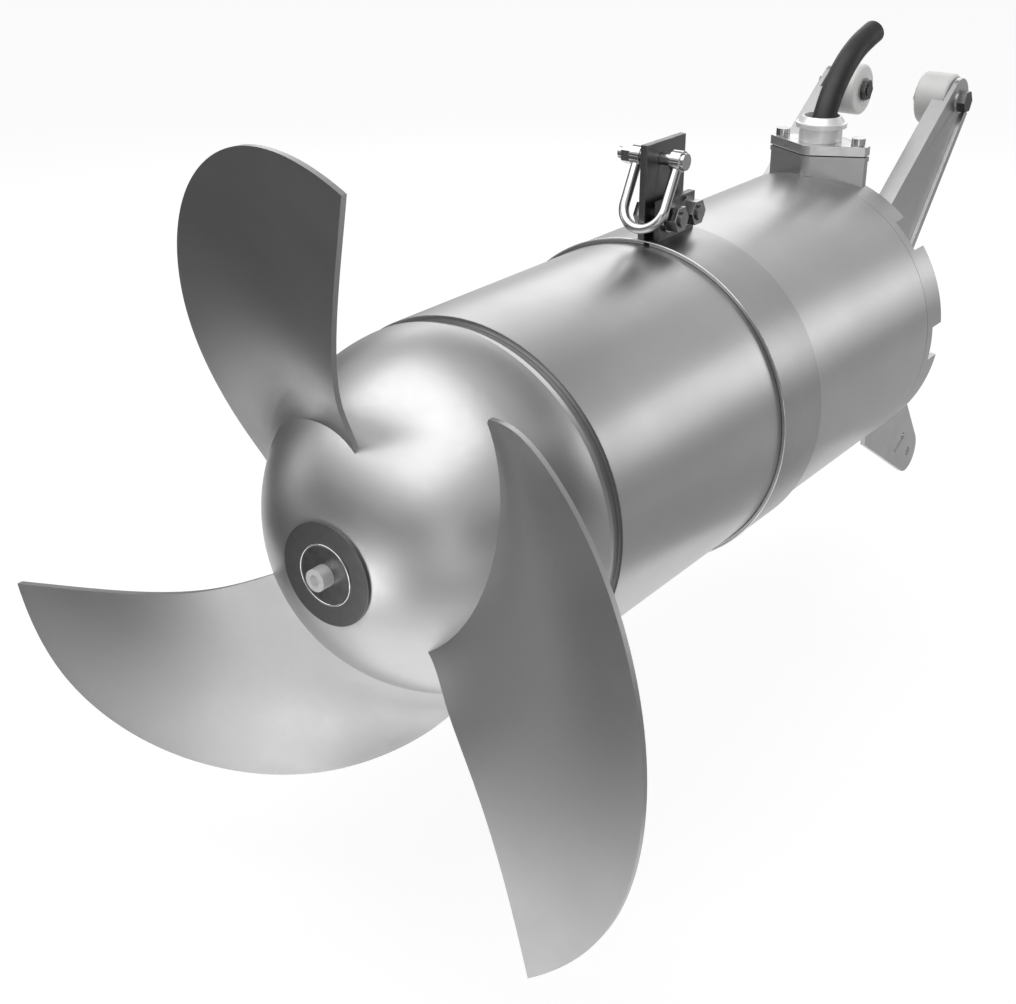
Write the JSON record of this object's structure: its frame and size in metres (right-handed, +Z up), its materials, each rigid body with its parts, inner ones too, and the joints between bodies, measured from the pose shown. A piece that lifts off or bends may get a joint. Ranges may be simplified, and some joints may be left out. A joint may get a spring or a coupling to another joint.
{
  "type": "submersible mixer",
  "caption": "Stainless submersible mixer with a bladed propeller on a domed hub, drum motor, lifting band with shackle, cable entry and a roller bracket for a square guide bar.",
  "frame": {"origin": "point of the shaft axis in the middle of the square guide bar that the bracket rides on", "axes": "+Z up along the guide bar, +Y from the propeller to the guide bar along the shaft axis, +X to the right seen from the guide bar's side with the propeller ahead"},
  "size_m": [0.5385, 0.9389, 0.4969],
  "materials": {
    "stainless": "satin brushed",
    "propeller_steel": "polished satin",
    "bolts": "bright",
    "bracket_steel": "pickled satin",
    "gland_metal": "bright turned",
    "machined_iron": "machined",
    "laminations": "bare laminated sheet",
    "windings": "varnished copper",
    "rotor_aluminium": "cast",
    "bearing_steel": "ground",
    "seal_face": "lapped carbide",
    "rubber": "matt",
    "cable_rubber": "matt",
    "roller_plastic": "white",
    "terminal_plastic": "moulded"
  },
  "bodies": {
    "housing": {"seal_housing": "stainless", "seal_seats": "seal_face", "bearing_housing": "machined_iron", "front_bearing_cups": "bearing_steel", "bearing_retainer": "machined_iron", "retainer_screws": "bolts", "motor_casing": "stainless", "cover_o_ring": "rubber", "stator_core": "laminations", "stator_windings": "windings", "rear_bearing_outer_ring": "bearing_steel", "rear_bearing_shield": "machined_iron", "rear_cover": "stainless", "rear_cover_screws": "bolts", "cable_entry_gasket": "rubber", "cable_entry_cover": "stainless", "cable_entry_screws": "bolts", "gland_body": "gland_metal", "gland_nut": "gland_metal", "cable_seal_sleeve": "rubber", "cable_tail": "cable_rubber", "terminal_block": "terminal_plastic", "power_cable": "cable_rubber", "lifting_band": "stainless", "lifting_plate": "bracket_steel", "band_ear": "bracket_steel", "clamp_bolts": "bolts", "clamp_nuts": "bolts", "clamp_washers": "bolts", "guide_bracket_left": "bracket_steel", "guide_bracket_right": "bracket_steel", "guide_bracket_plate": "bracket_steel", "guide_bracket_bolts": "bolts", "roller_bolts": "bolts", "roller_nuts": "bolts", "roller_washers": "bolts"},
    "propeller": {"propeller_hub": "propeller_steel", "propeller_blade_1": "propeller_steel", "propeller_blade_2": "propeller_steel", "propeller_blade_3": "propeller_steel", "nose_ring": "bolts", "hub_screw_washer": "bolts", "hub_screw": "bolts", "shaft": "machined_iron", "hub_key": "bearing_steel", "seal_rings": "seal_face", "seal_bellows": "rubber", "front_bearing_cones": "bearing_steel", "shaft_lock_nut": "machined_iron", "rotor_core": "laminations", "rotor_end_rings": "rotor_aluminium", "rear_bearing_inner_ring": "bearing_steel"},
    "front_rollers": {"front_bearing_rollers": "bearing_steel", "front_bearing_cages": "bearing_steel"},
    "rear_rollers": {"rear_bearing_rollers": "bearing_steel"},
    "roller_left": {"guide_roller_left": "roller_plastic"},
    "roller_right": {"guide_roller_right": "roller_plastic"},
    "shackle": {"shackle_bow": "bolts", "shackle_pin": "bolts", "shackle_nut": "bolts"}
  },
  "joints": [
    {"name": "propeller_spin", "type": "hinge", "parent": "housing", "child": "propeller", "pos_m": [0, 0, 0], "axis": [0, 1, 0], "continuous": true},
    {"name": "front_rollers_spin", "type": "hinge", "parent": "housing", "child": "front_rollers", "pos_m": [0, 0, 0], "axis": [0, 1, 0], "continuous": true},
    {"name": "rear_rollers_spin", "type": "hinge", "parent": "housing", "child": "rear_rollers", "pos_m": [0, 0, 0], "axis": [0, 1, 0], "continuous": true},
    {"name": "guide_roller_left_spin", "type": "hinge", "parent": "housing", "child": "roller_left", "pos_m": [-0.0485, 0.0758, 0.186], "axis": [1, 0, 0], "continuous": true},
    {"name": "guide_roller_right_spin", "type": "hinge", "parent": "housing", "child": "roller_right", "pos_m": [0.0485, 0.0758, 0.186], "axis": [1, 0, 0], "continuous": true},
    {"name": "shackle_swing", "type": "hinge", "parent": "housing", "child": "shackle", "pos_m": [0, -0.3829, 0.203], "axis": [1, 0, 0], "range_deg": [-275, 0]}
  ],
  "couplings": [
    {"joint": "front_rollers_spin", "follows": "propeller_spin", "ratio": 0.4296},
    {"joint": "rear_rollers_spin", "follows": "propeller_spin", "ratio": 0.4214}
  ]
}
